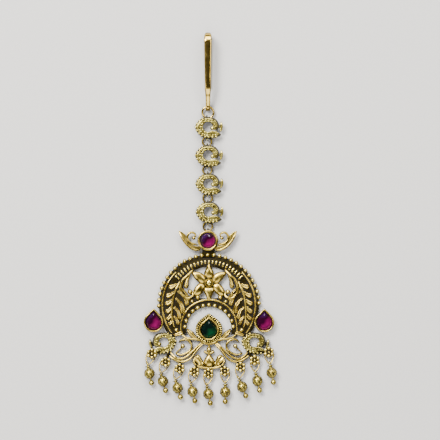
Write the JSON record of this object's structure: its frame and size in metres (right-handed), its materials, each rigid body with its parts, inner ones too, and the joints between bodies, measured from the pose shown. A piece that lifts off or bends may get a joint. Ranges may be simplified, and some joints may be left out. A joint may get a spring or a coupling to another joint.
{
  "type": "maang tikka",
  "caption": "Gold-tone forehead jewel: a hook, a chain of openwork crescents and a pierced pendant with cut stones and small bead drops.",
  "frame": {"origin": "centre of the pendant's disc, on its flat back", "axes": "+X to the jewel's right as seen from the front, +Y along the chain to the hook, +Z out of the decorated face"},
  "size_m": [0.0442, 0.1239, 0.0063],
  "materials": {
    "antique_gold": "antiqued satin, dark in the recesses",
    "pink_glass": "polished, faceted, foil-backed",
    "green_glass": "polished, faceted, foil-backed"
  },
  "bodies": {
    "root": {"hook": "antique_gold", "hook_ring": "antique_gold", "crescent_1": "antique_gold", "crescent_2": "antique_gold", "crescent_3": "antique_gold", "crescent_4": "antique_gold", "link_ring_1": "antique_gold", "link_ring_2": "antique_gold", "link_ring_3": "antique_gold", "link_ring_4": "antique_gold", "pendant": "antique_gold", "stone_crown": "pink_glass", "stone_left": "pink_glass", "stone_right": "pink_glass", "stone_centre": "green_glass", "drop_ring_1": "antique_gold", "drop_bead_1": "antique_gold", "drop_ring_2": "antique_gold", "drop_bead_2": "antique_gold", "drop_ring_3": "antique_gold", "drop_bead_3": "antique_gold", "drop_ring_4": "antique_gold", "drop_bead_4": "antique_gold", "drop_ring_5": "antique_gold", "drop_bead_5": "antique_gold", "drop_ring_6": "antique_gold", "drop_bead_6": "antique_gold", "drop_ring_7": "antique_gold", "drop_bead_7": "antique_gold", "drop_ring_8": "antique_gold", "drop_bead_8": "antique_gold", "drop_ring_9": "antique_gold", "drop_bead_9": "antique_gold"}
  },
  "joints": []
}
